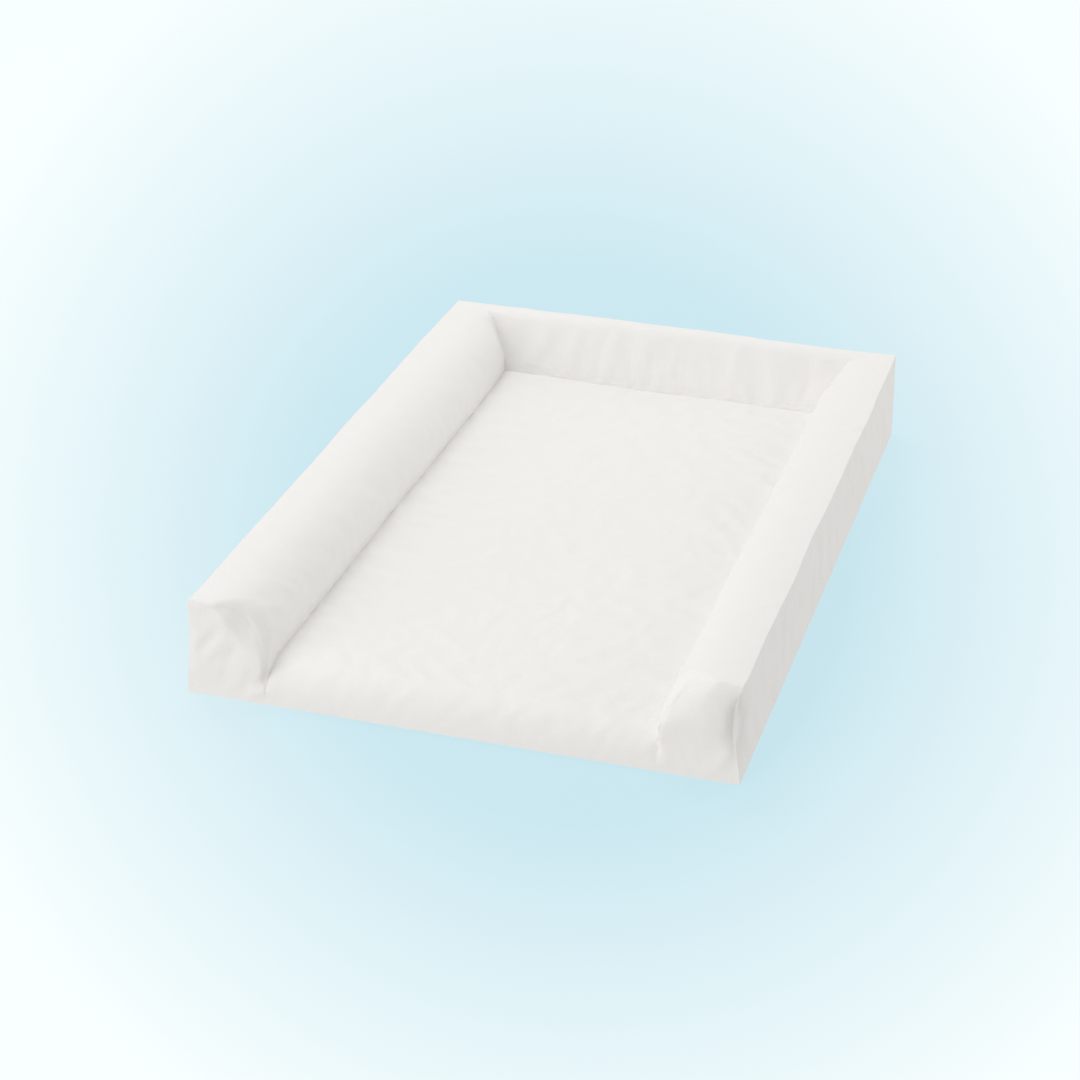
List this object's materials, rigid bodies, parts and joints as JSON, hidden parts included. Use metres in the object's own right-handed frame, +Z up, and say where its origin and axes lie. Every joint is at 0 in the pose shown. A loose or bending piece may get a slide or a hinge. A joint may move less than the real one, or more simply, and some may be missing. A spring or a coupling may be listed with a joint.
{
  "type": "changing pad",
  "caption": "Three-sided baby changing pad: padded lying surface with raised foam bolsters at both sides and the head, in a zipped white fabric cover.",
  "frame": {"origin": "middle of the flat underside, on the surface that the pad lies on", "axes": "+X across the pad, +Y along it from the open front end to the head end, +Z up"},
  "size_m": [0.48, 0.7437, 0.09],
  "materials": {
    "cover_fabric": "soft white cotton knit with a fine short pile",
    "base_fabric": "plain white woven cotton, flat",
    "foam": "cream open-cell polyurethane foam",
    "liner_film": "thin wipe-clean film, slightly glossy",
    "zip_tape": "white woven tape",
    "zip_coil": "white nylon coil",
    "zip_metal": "white enamel on die-cast metal, semi-gloss",
    "eyelet_metal": "nickel-plated",
    "label_satin": "white satin ribbon, blank"
  },
  "bodies": {
    "pad": {"base_foam": "foam", "left_bolster_foam": "foam", "right_bolster_foam": "foam", "head_bolster_foam": "foam", "liner_top_film": "liner_film", "liner_base_film": "liner_film", "liner_vent_eyelets": "eyelet_metal", "cover_centre_panel": "cover_fabric", "cover_left_bolster_panel": "cover_fabric", "cover_right_bolster_panel": "cover_fabric", "cover_head_bolster_panel": "cover_fabric", "cover_left_end_cap": "cover_fabric", "cover_right_end_cap": "cover_fabric", "cover_left_side_band": "cover_fabric", "cover_right_side_band": "cover_fabric", "cover_head_side_band": "cover_fabric", "cover_zip_strip": "cover_fabric", "cover_base_panel": "base_fabric", "zip_upper_tape": "zip_tape", "zip_lower_tape": "zip_tape", "zip_upper_teeth": "zip_coil", "zip_lower_teeth": "zip_coil", "zip_stops": "zip_metal", "care_label": "label_satin"},
    "zip_slider": {"zip_slider": "zip_metal"},
    "zip_pull": {"zip_pull": "zip_metal"}
  },
  "joints": [
    {"name": "zip_run", "type": "slide", "parent": "pad", "child": "zip_slider", "axis": [-1, 0, 0], "range_m": [0, 0.38]},
    {"name": "zip_pull_flip", "type": "hinge", "parent": "zip_slider", "child": "zip_pull", "pos_m": [0.19, 0.37195, 0.023], "axis": [0, 0, -1], "range_deg": [0, 170]}
  ]
}
